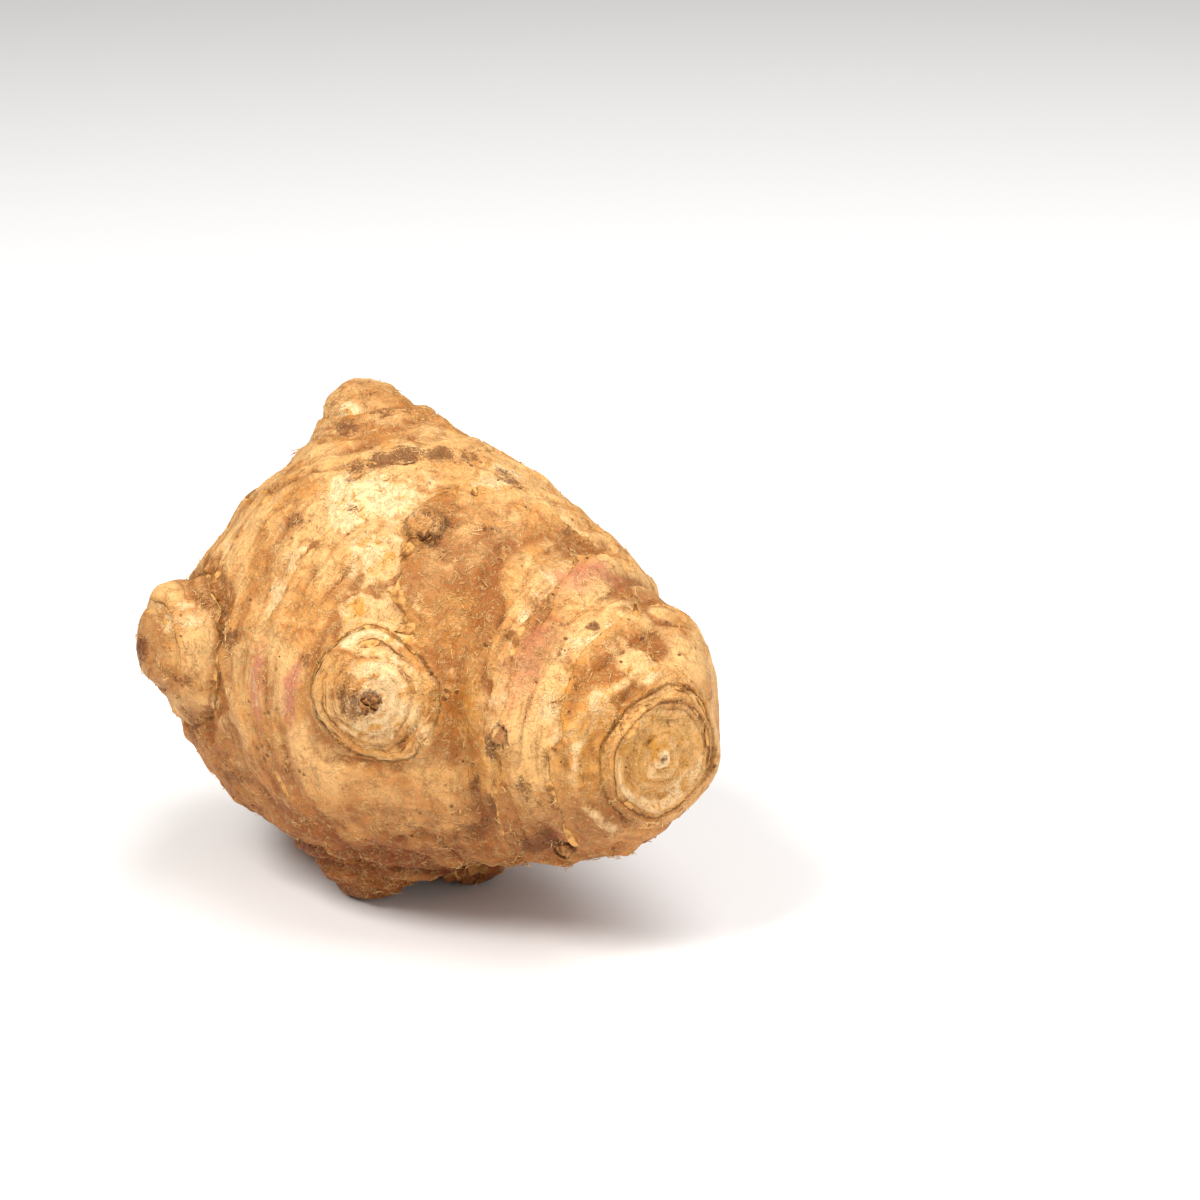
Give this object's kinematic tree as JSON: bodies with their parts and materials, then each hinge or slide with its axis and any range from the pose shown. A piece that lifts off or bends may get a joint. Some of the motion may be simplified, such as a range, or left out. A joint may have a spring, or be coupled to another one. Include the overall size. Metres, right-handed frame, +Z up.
{
  "type": "jerusalem artichoke",
  "caption": "Knobbly root vegetable: a stout ringed tuber with side knobs, buds and a round scar where it left its runner.",
  "frame": {"origin": "on the surface it lies on, under the middle of its bounding box", "axes": "+X along the stem towards the runner scar, +Z up from the surface it lies on, +Y across the stem"},
  "size_m": [0.0858, 0.0592, 0.0662],
  "materials": {
    "skin": "matte"
  },
  "bodies": {
    "root": {"tuber": "skin"}
  },
  "joints": []
}
